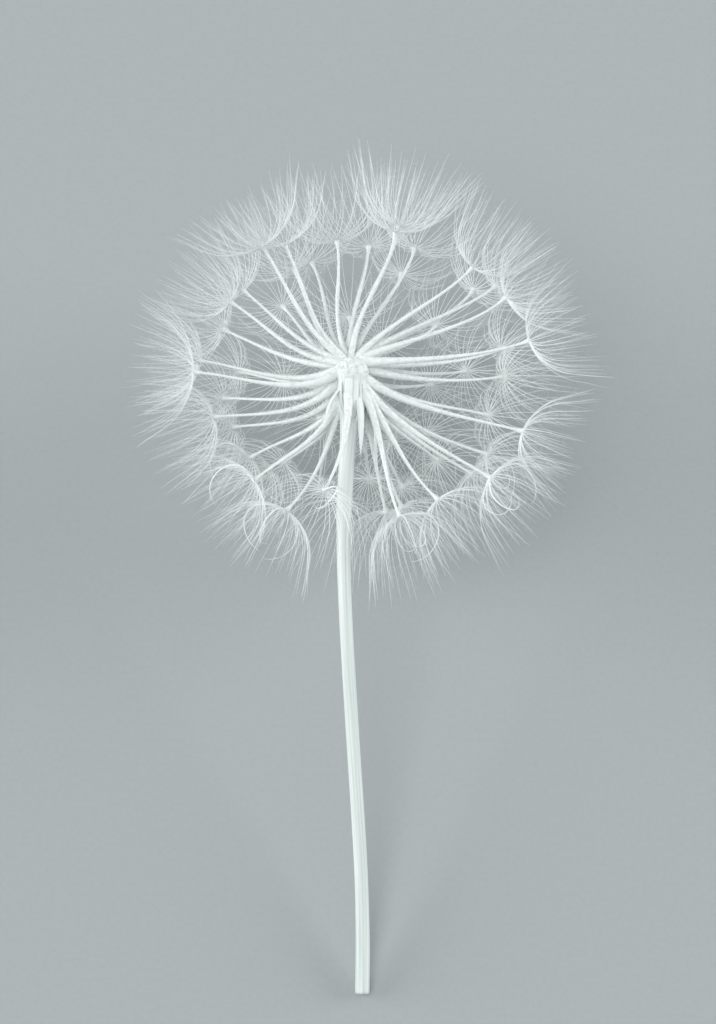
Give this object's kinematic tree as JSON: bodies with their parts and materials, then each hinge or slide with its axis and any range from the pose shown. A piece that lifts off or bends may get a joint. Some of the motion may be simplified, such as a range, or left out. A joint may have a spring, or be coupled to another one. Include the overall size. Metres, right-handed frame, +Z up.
{
  "type": "dandelion seed head",
  "caption": "Ripe seed clock of a dandelion-like flower, lying on its cut stalk: a globe of beaked seeds with bowl-shaped silky parachutes, open where the seeds that faced up have blown off.",
  "frame": {"origin": "on the surface the plant lies on, under the middle of its bounding box", "axes": "+Z up; +Y from the stalk's cut end towards the head; +X to the right seen from above with the head at the top"},
  "size_m": [0.1034, 0.177, 0.0746],
  "materials": {
    "stalk_flesh": "satin, near white with a cool tint, faint lengthwise streaks",
    "seed_silk": "matt bodies and silky hairs, near white with a cool tint"
  },
  "bodies": {
    "root": {"stalk": "stalk_flesh", "seed_head": "seed_silk"}
  },
  "joints": []
}
